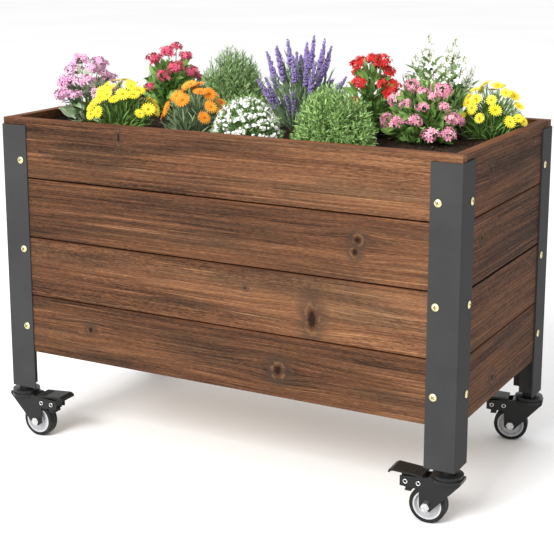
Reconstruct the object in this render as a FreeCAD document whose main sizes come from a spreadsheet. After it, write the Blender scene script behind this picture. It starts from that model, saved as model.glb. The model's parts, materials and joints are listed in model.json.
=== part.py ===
import FreeCAD, Part
import math
import os
import re
import Sketcher

# Raised planter on legs: a stained timber box of four board rows, held at its corners by folded steel
# angle legs that stand on braked swivel casters, with a floor, a liner, soil and planting inside.
# Frame: millimetres, +X along the long side, the front at -Y, +Z up, the origin on the ground below
# the middle of the box.

DIMENSIONS = {
    "PlanterWidth": 1000,  # over the legs
    "PlanterDepth": 504,
    "LegLength": 560,
    "LegFlange": 60,
    "LegSheet": 3,
    "LegFold": 2.5,  # radius of the fold's outside
    "LegBottom": 109,  # the casters' height
    "LegHoleInset": 45,  # screw line, from the leg's outer corner
    "LegHoleRadius": 3,
    "FootReach": 37,  # square foot tube, from the leg's outer faces
    "FootWall": 2,
    "FootHeight": 76,
    "FootPlug": 14,  # threaded plug in its lower end
    "StemBoreRadius": 6.1,
    "RimRise": 14,  # how far the boards stand above the legs
    "BoardHeight": 121,
    "BoardGap": 3,
    "BoardThick": 20,
    "BoardEase": 1.5,  # radius on the boards' long edges
    "PostSize": 40,
    "PostDrop": 12,  # the corner posts' tops below the rim
    "RailHeight": 32,
    "RailThick": 22,
    "RailLift": 2,  # rails above the lowest boards' lower edge
    "SlatThick": 14,
    "SlatWidth": 100,
    "SlatGap": 9.25,
    "EndSlatWidth": 36,
    "EndSlatClear": 2,
    "LinerThick": 1.5,
    "LinerClear": 0.5,
    "LinerDrop": 17,  # the liner's hem below the rim
    "SoilDrop": 29,
    "ScrewHeadRadius": 7.25,
    "ScrewHeadTop": 4,
    "ScrewHeadHeight": 3,
    "ScrewRadius": 2.5,
    "LegScrewLength": 35,
    "PanelHeadRadius": 5,
    "PanelHeadHeight": 2,
    "PanelScrewRadius": 2,
    "PanelScrewLength": 52,
    "StemInset": 20,  # caster axis, in from both outer faces of the leg
    "StemRadius": 6,
    "StemRise": 20,  # thread above the leg's lower end
    "CollarRadius": 11,
    "CollarBottom": 106,
    "NeckRadius": 14,
    "CapTop": 101,
    "CapBottom": 97.5,
    "CapRadius": 28.5,
    "KingpinHeadTop": 85,
    "KingpinHeadBottom": 81.5,
    "KingpinHeadRadius": 10,
    "RaceTop": 97,
    "RaceRadius": 27,
    "LipTop": 92,
    "LipRadius": 29.5,
    "ForkRoof": 86,
    "ForkHalf": 17,  # half the fork's outside width
    "ForkInside": 14.5,
    "PlateReach": 29,  # how far the fork's plates run back below the race
    "PlateToe": 10,  # plates below the axle
    "ArmEnd": 11,  # plates beyond the pedal's pin
    "Clearance": 0.05,  # radial running fit of every pin
    "Trail": 35,
    "WheelRadius": 35,
    "TyreHalf": 12,
    "TyreShoulder": 4,
    "HubRadius": 27.5,
    "HubRimRadius": 24.5,
    "HubRimHalf": 11,
    "HubWebHalf": 3,
    "HubBossRadius": 9,
    "HubBossHalf": 14.2,
    "AxleRadius": 4,
    "AxleHeadRadius": 8.5,
    "AxleHeadHeight": 6,
    "PivotReach": 75,  # brake pedal's pin, from the caster axis
    "PivotHeight": 77,
    "PivotRadius": 3,
    "PivotHead": 1.5,
    "EyeletReach": 50,  # blind rivet beside the pin, on each plate's outer face
    "PedalHalf": 21,
    "PedalRise": 17,  # its upper face above the pin, at the back
    "PedalThick": 3.5,
    "PedalTilt": 4.5,  # how much its upper face climbs to the front
    "PedalBack": 34,
    "PedalFront": 33,
    "TongueHalf": 12.5,
    "TongueDrop": 20,  # toothed tongue below the pin
    "Overcut": 5,  # how far a cut runs past a face
}

# Corner name: signs of x and y, the leg's turn about +Z, and the way its caster's brake pedal points.
CORNERS = {
    "front_left": (-1, -1, 0, 2),
    "front_right": (1, -1, 90, 183),
    "rear_right": (1, 1, 180, 193),
    "rear_left": (-1, 1, 270, -3),
}
TOUCH = 0.01  # two points nearer than this are one
BOARD_ROWS = 4
SLATS = 8
SCREW_DEPTHS = (86, 272, 438)  # leg screws below the rim
PANEL_SCREW_OFFSETS = {"long": 25, "end": -12}  # above a board's middle, so that crossing screws miss

# Planting: name, and for each clump its middle (x, y), half widths along x and y, and top.
CLUMPS = {
    "plant_pink_clusters": ((-425, -55, 46, 80, 794), (312, 20, 72, 72, 780)),
    "plant_daisies": ((-290, -120, 63, 82, 759), (-125, -110, 61, 78, 759), (418, 115, 50, 60, 769)),
    "plant_red_clusters": ((-325, 120, 65, 80, 809), (182, 60, 50, 70, 809)),
    "plant_green_shrubs": ((-178, 130, 76, 85, 810), (181, -100, 84, 62, 777)),
    "plant_white_blooms": ((18, -150, 70, 58, 742), (285, 175, 78, 42, 866)),
    "plant_lavender": ((28, 60, 100, 100, 869),),
}

doc = FreeCAD.newDocument("RaisedPlanter")
sheet = doc.addObject("Spreadsheet::Sheet", "Sizes")
for row, (alias, size) in enumerate(DIMENSIONS.items(), start=1):
    sheet.set(f"A{row}", alias)
    sheet.set(f"B{row}", str(size))
    sheet.setAlias(f"B{row}", alias)
doc.recompute()

pieces = []


def words(expression):
    """The expression with each dimension's name, the only capitalised words, pointing at its cell."""
    return re.sub(r"[A-Z][A-Za-z]+", r"Sizes.\g<0>", str(expression))


def number(expression):
    """What an expression of the sheet's dimensions comes to."""
    return float(sheet.evalExpression(words(expression)))


def named(item, label):
    """Makes this object a piece of the planter."""
    item.Label = label
    pieces.append(item)
    return item


def place(item, x=0, y=0, z=0, turn=0, axis=(0, 0, 1)):
    """Turns an object and binds its position to the sheet."""
    item.Placement = FreeCAD.Placement(FreeCAD.Vector(), FreeCAD.Rotation(FreeCAD.Vector(*axis), turn))
    for direction, expression in zip("xyz", (x, y, z)):
        item.setExpression(f"Placement.Base.{direction}", words(expression))
    return item


def primitive(kind, name, **sizes):
    """A Part primitive whose sizes follow the sheet."""
    item = doc.addObject(f"Part::{kind}", name)
    for size, expression in sizes.items():
        item.setExpression(size, words(expression))
    return item


def group(label, members):
    """Separate solids that share one node."""
    compound = doc.addObject("Part::Compound", label)
    compound.Links = members
    return named(compound, label)


def sketch_on(body, role, name, lift=0):
    """An empty sketch on one of the body's own origin planes, lifted off it."""
    sketch = body.newObject("Sketcher::SketchObject", name)
    plane = next(feature for feature in body.Origin.OriginFeatures if feature.Role == role)
    sketch.AttachmentSupport = (plane, [""])
    sketch.MapMode = "FlatFace"
    if lift:
        sketch.setExpression("AttachmentOffset.Base.z", words(lift))
    return sketch


def fix_point(sketch, geometry, end, x, y):
    """Binds a point of the sketch to the sheet."""
    for kind, expression in (("DistanceX", x), ("DistanceY", y)):
        value = number(expression)
        index = sketch.addConstraint(Sketcher.Constraint(kind, -1, 1, geometry, end, value))
        sketch.setExpression(f"Constraints[{index}]", words(expression))


def polygon(body, role, name, corners, lift=0):
    """A closed outline through corners given as pairs of expressions."""
    sketch = sketch_on(body, role, name, lift)
    points = [FreeCAD.Vector(number(x), number(y), 0) for x, y in corners]
    count = len(points)
    for index in range(count):
        sketch.addGeometry(Part.LineSegment(points[index], points[(index + 1) % count]), False)
    for index in range(count):
        sketch.addConstraint(Sketcher.Constraint("Coincident", index, 2, (index + 1) % count, 1))
    for index, (x, y) in enumerate(corners):
        fix_point(sketch, index, 1, x, y)
    return sketch


def circles(body, role, name, centres, radius, lift=0):
    """Equal circles at centres given as pairs of expressions."""
    sketch = sketch_on(body, role, name, lift)
    for index, (x, y) in enumerate(centres):
        middle = FreeCAD.Vector(number(x), number(y), 0)
        sketch.addGeometry(Part.Circle(middle, FreeCAD.Vector(0, 0, 1), number(radius)), False)
        fix_point(sketch, index, 3, x, y)
        bound = sketch.addConstraint(Sketcher.Constraint("Radius", index, number(radius)))
        sketch.setExpression(f"Constraints[{bound}]", words(radius))
    return sketch


def pad(body, sketch, length, symmetric=False):
    """Adds the sketch's outline to the body, away from its plane or to both sides of it."""
    feature = body.newObject("PartDesign::Pad", sketch.Name + "Pad")
    feature.Profile = sketch
    feature.SideType = "Symmetric" if symmetric else "One side"
    feature.setExpression("Length", words(length))
    return feature


def pocket(body, sketch, length, symmetric=False, backwards=False):
    """Cuts the sketch's outline from the body and checks that something was cut."""
    doc.recompute()
    before = body.Shape.Volume
    feature = body.newObject("PartDesign::Pocket", sketch.Name + "Pocket")
    feature.Profile = sketch
    feature.SideType = "Symmetric" if symmetric else "One side"
    feature.Reversed = backwards
    feature.setExpression("Length", words(length))
    doc.recompute()
    if body.Shape.Volume > before - 1:
        raise ValueError(f"{feature.Name} cuts nothing")
    return feature


def revolve(body, name, corners):
    """A solid turned about the body's own Z axis, from an outline of radius and height."""
    sketch = polygon(body, "XZ_Plane", name, corners)
    feature = body.newObject("PartDesign::Revolution", name + "Turn")
    feature.Profile = sketch
    feature.ReferenceAxis = (sketch, ["V_Axis"])
    feature.Angle = 360
    return feature


def new_body(label):
    return named(doc.addObject("PartDesign::Body", label), label)


# ---- steel legs ----


def square(near, far):
    """Corners of a square between two distances from both axes."""
    return [(near, near), (far, near), (far, far), (near, far)]


def leg(corner):
    """A folded angle with a square foot tube, plugged and bored for the caster, its corner at the origin."""
    sign_x, sign_y, turn, _ = CORNERS[corner]
    body = new_body(f"leg_{corner}")
    angle = [
        (0, 0),
        ("LegFlange", 0),
        ("LegFlange", "LegSheet"),
        ("LegSheet", "LegSheet"),
        ("LegSheet", "LegFlange"),
        (0, "LegFlange"),
    ]
    folded = pad(body, polygon(body, "XY_Plane", f"Angle_{corner}", angle), "LegLength")
    doc.recompute()
    for index, edge in enumerate(body.Shape.Edges, start=1):
        if all(math.hypot(end.X, end.Y) < TOUCH for end in edge.Vertexes):
            fold = body.newObject("PartDesign::Fillet", f"Fold_{corner}")
            fold.Base = (folded, [f"Edge{index}"])
            fold.setExpression("Radius", words("LegFold"))
    tube = square("LegSheet", "FootReach")
    pad(body, polygon(body, "XY_Plane", f"FootTube_{corner}", tube), "FootHeight")
    hollow = square("LegSheet + FootWall", "FootReach - FootWall")
    inside = polygon(body, "XY_Plane", f"FootInside_{corner}", hollow, "FootPlug")
    pocket(body, inside, "FootHeight - FootPlug + Overcut", backwards=True)
    bore = circles(body, "XY_Plane", f"StemBore_{corner}", [("StemInset", "StemInset")], "StemBoreRadius")
    pocket(body, bore, "FootPlug", backwards=True)
    heights = [f"LegLength + RimRise - {depth}" for depth in SCREW_DEPTHS]
    holes = [("LegHoleInset", height) for height in heights]
    for role, side in (("XZ_Plane", "Long"), ("YZ_Plane", "End")):
        sketch = circles(body, role, f"{side}Holes_{corner}", holes, "LegHoleRadius")
        pocket(body, sketch, "LegSheet * 2", symmetric=True)
    place(body, f"{sign_x} * PlanterWidth / 2", f"{sign_y} * PlanterDepth / 2", "LegBottom", turn)


# ---- timber box ----

RIM = "(LegBottom + LegLength + RimRise)"
OUTER_X = "(PlanterWidth / 2 - LegSheet)"
OUTER_Y = "(PlanterDepth / 2 - LegSheet)"
INNER_X = "(PlanterWidth / 2 - LegSheet - BoardThick)"
INNER_Y = "(PlanterDepth / 2 - LegSheet - BoardThick)"
BOX_BOTTOM = f"({RIM} - {BOARD_ROWS} * (BoardHeight + BoardGap) + BoardGap)"
FLOOR = f"({BOX_BOTTOM} + RailLift + RailHeight + SlatThick)"


def block(name, low, high):
    """A box between two corners given as triples of expressions."""
    sizes = [f"({b}) - ({a})" for a, b in zip(low, high)]
    item = primitive("Box", name, Length=sizes[0], Width=sizes[1], Height=sizes[2])
    return place(item, *low)


def board(label, low, high, along):
    """A board between two corners with its long edges eased."""
    blank = block(f"{label}_blank", low, high)
    doc.recompute()
    eased = doc.addObject("Part::Fillet", label)
    eased.Base = blank
    long_edges = []
    for index, edge in enumerate(blank.Shape.Edges, start=1):
        direction = edge.Vertexes[1].Point - edge.Vertexes[0].Point
        if abs(direction.dot(along)) > 0.9 * direction.Length:
            radius = number("BoardEase")
            long_edges.append((index, radius, radius))
    eased.Edges = long_edges
    return named(eased, label)


def boards():
    """Four rows: front and rear boards run the whole length, end boards fit between them."""
    along_x = FreeCAD.Vector(1, 0, 0)
    along_y = FreeCAD.Vector(0, 1, 0)
    for row in range(1, BOARD_ROWS + 1):
        top = f"{RIM} - {row - 1} * (BoardHeight + BoardGap)"
        bottom = f"{top} - BoardHeight"
        front = (f"-{OUTER_X}", f"-{OUTER_Y}", bottom), (OUTER_X, f"-{INNER_Y}", top)
        rear = (f"-{OUTER_X}", INNER_Y, bottom), (OUTER_X, OUTER_Y, top)
        left = (f"-{OUTER_X}", f"-{INNER_Y}", bottom), (f"-{INNER_X}", INNER_Y, top)
        right = (INNER_X, f"-{INNER_Y}", bottom), (OUTER_X, INNER_Y, top)
        board(f"board_front_{row}", *front, along_x)
        board(f"board_rear_{row}", *rear, along_x)
        board(f"board_left_{row}", *left, along_y)
        board(f"board_right_{row}", *right, along_y)


def corner_block(name, corner, size, bottom, top):
    """A square block in an inside corner of the box."""
    sign_x, sign_y, _, _ = CORNERS[corner]
    low_x = INNER_X + f" - ({size})" if sign_x > 0 else f"-{INNER_X}"
    low_y = INNER_Y + f" - ({size})" if sign_y > 0 else f"-{INNER_Y}"
    high_x = f"{low_x} + ({size})"
    high_y = f"{low_y} + ({size})"
    return block(name, (low_x, low_y, bottom), (high_x, high_y, top))


def floor():
    """Four rails screwed to the lowest boards carry slats laid across the box, with drainage gaps."""
    post_x = f"({INNER_X} - PostSize)"
    post_y = f"({INNER_Y} - PostSize)"
    bottom = f"{BOX_BOTTOM} + RailLift"
    top = f"{bottom} + RailHeight"
    rails = []
    for name, sign in (("front", -1), ("rear", 1)):
        edge = f"-{INNER_Y}" if sign < 0 else f"{INNER_Y} - RailThick"
        low, high = (f"-{post_x}", edge, bottom), (post_x, f"{edge} + RailThick", top)
        rails.append(block(f"rail_{name}", low, high))
    for name, sign in (("left", -1), ("right", 1)):
        edge = f"-{INNER_X}" if sign < 0 else f"{INNER_X} - RailThick"
        low, high = (edge, f"-{post_y}", bottom), (f"{edge} + RailThick", post_y, top)
        rails.append(block(f"rail_{name}", low, high))
    group("floor_rails", rails)
    slat_top = f"{top} + SlatThick"
    run = f"({SLATS} * (SlatWidth + SlatGap) - SlatGap)"
    slats = []
    for index in range(SLATS):
        left = f"-{run} / 2 + {index} * (SlatWidth + SlatGap)"
        low, high = (left, f"-{INNER_Y}", top), (f"{left} + SlatWidth", INNER_Y, slat_top)
        slats.append(block(f"slat_{index + 1}", low, high))
    for name, left in (("left", f"-{INNER_X}"), ("right", f"{INNER_X} - EndSlatWidth")):
        low, high = (left, f"-{post_y} + EndSlatClear", top), (
            f"{left} + EndSlatWidth",
            f"{post_y} - EndSlatClear",
            slat_top,
        )
        slats.append(block(f"end_slat_{name}", low, high))
    group("floor_slats", slats)


def notched(name, inset, bottom, top):
    """A block that fills the box inside its walls and around its corner posts."""
    reach_x = f"({INNER_X} - ({inset}))"
    reach_y = f"({INNER_Y} - ({inset}))"
    body = block(f"{name}_block", (f"-{reach_x}", f"-{reach_y}", bottom), (reach_x, reach_y, top))
    notches = doc.addObject("Part::MultiFuse", f"{name}_notches")
    notches.Shapes = [
        corner_block(
            f"{name}_notch_{corner}",
            corner,
            f"PostSize + ({inset})",
            f"{bottom} - Overcut",
            f"{top} + Overcut",
        )
        for corner in CORNERS
    ]
    cut = doc.addObject("Part::Cut", name)
    cut.Base = body
    cut.Tool = notches
    return cut


def liner_and_soil():
    """A thin liner bag against the walls, and the soil in it."""
    hem = f"{RIM} - LinerDrop"
    outside = notched("liner_outside", "LinerClear", FLOOR, hem)
    inside = notched("liner_inside", "LinerClear + LinerThick", f"{FLOOR} + LinerThick", f"{hem} + Overcut")
    bag = doc.addObject("Part::Cut", "liner")
    bag.Base = outside
    bag.Tool = inside
    named(bag, "liner")
    gap = "LinerClear * 2 + LinerThick"
    named(notched("soil", gap, f"{FLOOR} + LinerThick", f"{RIM} - SoilDrop"), "soil")


# ---- screws ----


def screw(name, sizes, at, turn, axis):
    """One wood screw, its head's underside at a point and its shank along the turned +Z."""
    head_radius, top_radius, head, radius, length = sizes
    shank = primitive("Cylinder", f"{name}_shank", Radius=radius, Height=length)
    place(shank, *at, turn, axis)
    crown = primitive("Cone", f"{name}_head", Radius1=head_radius, Radius2=top_radius, Height=head)
    place(crown, *at, turn + 180, axis)
    fused = doc.addObject("Part::MultiFuse", name)
    fused.Shapes = [shank, crown]
    return fused


def toward(sign, side):
    """The turn and axis that point a screw's +Z from a face of the long or end side inwards."""
    return (sign * 90, (1, 0, 0)) if side == "long" else (-sign * 90, (0, 1, 0))


def leg_screws():
    """Three dome-headed screws through each flange of each leg."""
    sizes = ("ScrewHeadRadius", "ScrewHeadTop", "ScrewHeadHeight", "ScrewRadius", "LegScrewLength")
    screws = []
    for corner, (sign_x, sign_y, _, _) in CORNERS.items():
        for index, depth in enumerate(SCREW_DEPTHS, start=1):
            height = f"{RIM} - {depth}"
            long_x = f"{sign_x} * (PlanterWidth / 2 - LegHoleInset)"
            at = (long_x, f"{sign_y} * PlanterDepth / 2", height)
            screws.append(screw(f"leg_screw_{corner}_long_{index}", sizes, at, *toward(sign_y, "long")))
            end_y = f"{sign_y} * (PlanterDepth / 2 - LegHoleInset)"
            at = (f"{sign_x} * PlanterWidth / 2", end_y, height)
            screws.append(screw(f"leg_screw_{corner}_end_{index}", sizes, at, *toward(sign_x, "end")))
    group("leg_screws", screws)


def panel_screws():
    """Screws from inside each corner post into the ends of the boards, their heads sunk flush."""
    head = ("PanelHeadRadius / 2", "PanelHeadRadius", "PanelHeadHeight")
    sizes = (*head, "PanelScrewRadius", "PanelScrewLength")
    screws = []
    for corner, (sign_x, sign_y, _, _) in CORNERS.items():
        for row in range(1, BOARD_ROWS + 1):
            middle = f"{RIM} - {row - 1} * (BoardHeight + BoardGap) - BoardHeight / 2"
            at_x = f"{sign_x} * ({INNER_X} - PostSize / 2)"
            at_y = f"{sign_y} * ({INNER_Y} - PostSize / 2)"
            face_x = f"{sign_x} * ({INNER_X} - PostSize + PanelHeadHeight)"
            face_y = f"{sign_y} * ({INNER_Y} - PostSize + PanelHeadHeight)"
            at = (at_x, face_y, f"{middle} + {PANEL_SCREW_OFFSETS['long']}")
            screws.append(screw(f"panel_screw_{corner}_long_{row}", sizes, at, *toward(-sign_y, "long")))
            at = (face_x, at_y, f"{middle} + {PANEL_SCREW_OFFSETS['end']}")
            screws.append(screw(f"panel_screw_{corner}_end_{row}", sizes, at, *toward(-sign_x, "end")))
    group("panel_screws", screws)


# ---- casters ----


def caster_place(body, corner, reach=0, height=0):
    """Sets a caster piece on its own axis line, turned the way the brake pedal points."""
    sign_x, sign_y, _, heading = CORNERS[corner]
    x = f"{sign_x} * (PlanterWidth / 2 - StemInset) + cos({heading}) * ({reach})"
    y = f"{sign_y} * (PlanterDepth / 2 - StemInset) + sin({heading}) * ({reach})"
    place(body, x, y, height, heading)


def caster_stem(corner):
    """Threaded stem, collar, dust cap and kingpin, all turned from one bar and fixed to the leg."""
    body = new_body(f"caster_stem_{corner}")
    outline = [
        (0, "KingpinHeadBottom"),
        ("KingpinHeadRadius", "KingpinHeadBottom"),
        ("KingpinHeadRadius", "KingpinHeadTop"),
        ("StemRadius", "KingpinHeadTop"),
        ("StemRadius", "CapBottom"),
        ("CapRadius", "CapBottom"),
        ("CapRadius", "CapBottom + 2"),
        ("NeckRadius", "CapTop"),
        ("NeckRadius", "CollarBottom"),
        ("CollarRadius", "CollarBottom"),
        ("CollarRadius", "LegBottom"),
        ("StemRadius", "LegBottom"),
        ("StemRadius", "LegBottom + StemRise"),
        (0, "LegBottom + StemRise"),
    ]
    revolve(body, f"Stem_{corner}", outline)
    caster_place(body, corner)


def caster_fork(corner):
    """A pressed fork: a round race above two side plates whose arms carry the pedal's pin."""
    body = new_body(f"caster_fork_{corner}")
    plates = [
        ("-PlateReach", "LipTop"),
        ("-PlateReach", "ForkRoof"),
        ("Trail - 8", "WheelRadius - PlateToe + 1"),
        ("Trail + 4", "WheelRadius - PlateToe"),
        ("Trail + 13", "WheelRadius - 4"),
        ("Trail + 14", "PivotHeight - 12"),
        ("PivotReach + ArmEnd", "PivotHeight - 10"),
        ("PivotReach + ArmEnd", "PivotHeight + 9"),
        ("PlateReach + 5", "LipTop - 2"),
        ("PlateReach", "LipTop"),
    ]
    pad(body, polygon(body, "XZ_Plane", f"Plates_{corner}", plates), "ForkHalf * 2", symmetric=True)
    eyelet = circles(body, "XZ_Plane", f"Eyelet_{corner}", [("EyeletReach", "PivotHeight")], "PivotRadius")
    pad(body, eyelet, "(ForkHalf + PivotHead) * 2", symmetric=True)
    back = "-PlateReach - Overcut"
    front = "PivotReach + ArmEnd + Overcut"
    roof_end = "PlateReach + 3"
    over = "LipTop + Overcut"
    gap = [(back, 0), (front, 0), (front, over), (roof_end, over), (roof_end, "ForkRoof"), (back, "ForkRoof")]
    pocket(body, polygon(body, "XZ_Plane", f"Gap_{corner}", gap), "ForkInside * 2", symmetric=True)
    middle = [(0, 0)]
    lip = circles(body, "XY_Plane", f"Lip_{corner}", middle, "LipRadius", "ForkRoof")
    pad(body, lip, "LipTop - ForkRoof")
    race = circles(body, "XY_Plane", f"Race_{corner}", middle, "RaceRadius", "ForkRoof")
    pad(body, race, "RaceTop - ForkRoof")
    kingpin = circles(body, "XY_Plane", f"Kingpin_{corner}", middle, "StemRadius + Clearance", "ForkRoof")
    pocket(body, kingpin, "RaceTop - ForkRoof + Overcut", backwards=True)
    axle = [("Trail", "WheelRadius")]
    bore = circles(body, "XZ_Plane", f"AxleBore_{corner}", axle, "AxleRadius + Clearance * 2")
    pocket(body, bore, "ForkHalf * 3", symmetric=True)
    pin = [("PivotReach", "PivotHeight")]
    rivet = circles(body, "XZ_Plane", f"PedalPin_{corner}", pin, "PivotRadius")
    pad(body, rivet, "(ForkHalf + PivotHead) * 2", symmetric=True)
    caster_place(body, corner)


def caster_axle(corner):
    """Axle bolt with its head and nut outside the fork's plates."""
    body = new_body(f"caster_axle_{corner}")
    shank = circles(body, "XZ_Plane", f"Axle_{corner}", [(0, 0)], "AxleRadius")
    pad(body, shank, "(ForkHalf + AxleHeadHeight) * 2", symmetric=True)
    for side, lift in (("Head", "ForkHalf"), ("Nut", "-ForkHalf - AxleHeadHeight")):
        hexagon = hexagon_corners("AxleHeadRadius")
        sketch = polygon(body, "XZ_Plane", f"{side}_{corner}", hexagon, lift)
        pad(body, sketch, "AxleHeadHeight")
    caster_place(body, corner, "Trail", "WheelRadius")


def hexagon_corners(radius):
    """Six corners on a circle, from the one at the right."""
    return [(f"{radius} * cos({60 * k})", f"{radius} * sin({60 * k})") for k in range(6)]


def wheel_piece(name, corner, outline):
    """A turned piece of the wheel, its axle laid level across the fork."""
    body = new_body(f"{name}_{corner}")
    revolve(body, f"{name}_{corner}_outline", outline)
    sign_x, sign_y, _, heading = CORNERS[corner]
    x = f"{sign_x} * (PlanterWidth / 2 - StemInset) + cos({heading}) * Trail"
    y = f"{sign_y} * (PlanterDepth / 2 - StemInset) + sin({heading}) * Trail"
    place(body, x, y, "WheelRadius")
    level = FreeCAD.Rotation(FreeCAD.Vector(1, 0, 0), -90)
    body.Placement.Rotation = FreeCAD.Rotation(FreeCAD.Vector(0, 0, 1), heading) * level
    return body


def caster_hub(corner):
    """Dished wheel centre: a rim, a thin web and a boss bored for the axle."""
    bore = "AxleRadius + Clearance"
    outline = [
        (bore, "-HubBossHalf"),
        ("HubBossRadius", "-HubBossHalf"),
        ("HubBossRadius", "-HubWebHalf"),
        ("HubRimRadius - 2", "-HubWebHalf"),
        ("HubRimRadius", "-HubRimHalf"),
        ("HubRadius", "-HubRimHalf"),
        ("HubRadius", "HubRimHalf"),
        ("HubRimRadius", "HubRimHalf"),
        ("HubRimRadius - 2", "HubWebHalf"),
        ("HubBossRadius", "HubWebHalf"),
        ("HubBossRadius", "HubBossHalf"),
        (bore, "HubBossHalf"),
    ]
    wheel_piece("caster_hub", corner, outline)


def caster_tyre(corner):
    """Rubber tread with rounded shoulders, moulded on the hub's rim."""
    outline = [
        ("HubRadius", "-TyreHalf"),
        ("WheelRadius", "-TyreHalf"),
        ("WheelRadius", "TyreHalf"),
        ("HubRadius", "TyreHalf"),
    ]
    body = wheel_piece("caster_tyre", corner, outline)
    doc.recompute()
    shoulders = []
    for index, edge in enumerate(body.Shape.Edges, start=1):
        if isinstance(edge.Curve, Part.Circle) and edge.Curve.Radius > number("WheelRadius") - TOUCH:
            shoulders.append(f"Edge{index}")
    turned = body.Tip
    rounding = body.newObject("PartDesign::Fillet", f"Shoulders_{corner}")
    rounding.Base = (turned, shoulders)
    rounding.setExpression("Radius", words("TyreShoulder"))


def caster_pedal(corner):
    """Brake pedal about its pin: a wide foot plate with a bent lip, and a toothed brake tongue."""
    body = new_body(f"caster_pedal_{corner}")
    under = "PedalRise - PedalThick"
    tongue = [
        (-9, f"{under} + 2.5"),
        (9, f"{under} + 2.5"),
        (9, -5),
        (4, -7),
        (7, -12),
        (1, -13.5),
        (3, "-TongueDrop"),
        (-9, "-TongueDrop"),
        (-11, -12),
        (-9, -2),
    ]
    pad(body, polygon(body, "XZ_Plane", f"Tongue_{corner}", tongue), "TongueHalf * 2", symmetric=True)
    foot = [
        ("-PedalBack", under),
        ("PedalFront - 11", f"{under} + PedalTilt - 1"),
        ("PedalFront - 4", f"{under} + 2"),
        ("PedalFront - 3", f"{under} - 1"),
        ("PedalFront", under),
        ("PedalFront - 1.5", "PedalRise + 1"),
        ("PedalFront - 8", "PedalRise + PedalTilt"),
        ("-PedalBack", "PedalRise"),
    ]
    pad(body, polygon(body, "XZ_Plane", f"Foot_{corner}", foot), "PedalHalf * 2", symmetric=True)
    bore = circles(body, "XZ_Plane", f"PinBore_{corner}", [(0, 0)], "PivotRadius + Clearance")
    pocket(body, bore, "PedalHalf * 3", symmetric=True)
    caster_place(body, corner, "PivotReach", "PivotHeight")


# ---- planting ----


def planting():
    """Each kind of plant as plain domes that stand on the soil, clear of each other and of the walls."""
    soil_top = f"{RIM} - SoilDrop"
    for label, clumps in CLUMPS.items():
        domes = []
        for index, (x, y, half_x, half_y, top) in enumerate(clumps, start=1):
            name = f"{label}_{index}"
            dome = primitive("Ellipsoid", name, Radius1=f"{top} - ({soil_top})")
            dome.Radius2 = half_x
            dome.Radius3 = half_y
            dome.Angle1 = 0
            domes.append(place(dome, x, y, soil_top))
        group(label, domes)


for corner_name in CORNERS:
    leg(corner_name)
boards()
for corner_name in CORNERS:
    post = corner_block(f"post_{corner_name}", corner_name, "PostSize", BOX_BOTTOM, f"{RIM} - PostDrop")
    named(post, f"post_{corner_name}")
floor()
liner_and_soil()
leg_screws()
panel_screws()
for corner_name in CORNERS:
    caster_stem(corner_name)
    caster_fork(corner_name)
    caster_axle(corner_name)
    caster_hub(corner_name)
    caster_tyre(corner_name)
    caster_pedal(corner_name)
planting()

doc.recompute()

for item in doc.Objects:
    if "Invalid" in item.State or "Error" in item.State:
        raise ValueError(f"{item.Label} failed: {item.State}")
for item in pieces:
    if item.Shape.isNull() or not item.Shape.isValid():
        raise ValueError(f"{item.Label} has no valid shape")

os.makedirs("parts", exist_ok=True)
for item in pieces:
    item.Shape.exportStep(f"parts/{item.Label}.step")
    print(item.Label, len(item.Shape.Solids), round(item.Shape.Volume))
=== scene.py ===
import json
import math

import bpy
import numpy as np
from mathutils import Euler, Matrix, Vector


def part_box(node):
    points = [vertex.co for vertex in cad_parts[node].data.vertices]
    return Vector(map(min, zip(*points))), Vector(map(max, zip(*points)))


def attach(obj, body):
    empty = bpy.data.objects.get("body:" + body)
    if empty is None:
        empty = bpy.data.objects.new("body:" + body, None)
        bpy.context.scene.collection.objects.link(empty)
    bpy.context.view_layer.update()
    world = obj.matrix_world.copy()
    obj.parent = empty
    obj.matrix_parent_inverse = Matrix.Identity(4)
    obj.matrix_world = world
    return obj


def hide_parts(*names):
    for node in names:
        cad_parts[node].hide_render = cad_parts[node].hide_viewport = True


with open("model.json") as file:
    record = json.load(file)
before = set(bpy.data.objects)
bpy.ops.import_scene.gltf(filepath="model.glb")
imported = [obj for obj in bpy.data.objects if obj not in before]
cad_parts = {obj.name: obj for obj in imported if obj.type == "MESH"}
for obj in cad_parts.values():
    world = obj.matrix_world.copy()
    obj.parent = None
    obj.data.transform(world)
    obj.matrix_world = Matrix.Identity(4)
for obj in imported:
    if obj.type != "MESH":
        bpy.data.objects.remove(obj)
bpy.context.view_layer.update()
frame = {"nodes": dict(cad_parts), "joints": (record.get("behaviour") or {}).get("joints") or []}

MM = 0.001
CORNERS = ("front_left", "front_right", "rear_right", "rear_left")
SIDES = {"front": "X", "rear": "X", "left": "Y", "right": "Y"}
ROOT = "planter"
GOLDEN_ANGLE = math.pi * (3 - math.sqrt(5))


# ---- shader nodes


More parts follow.
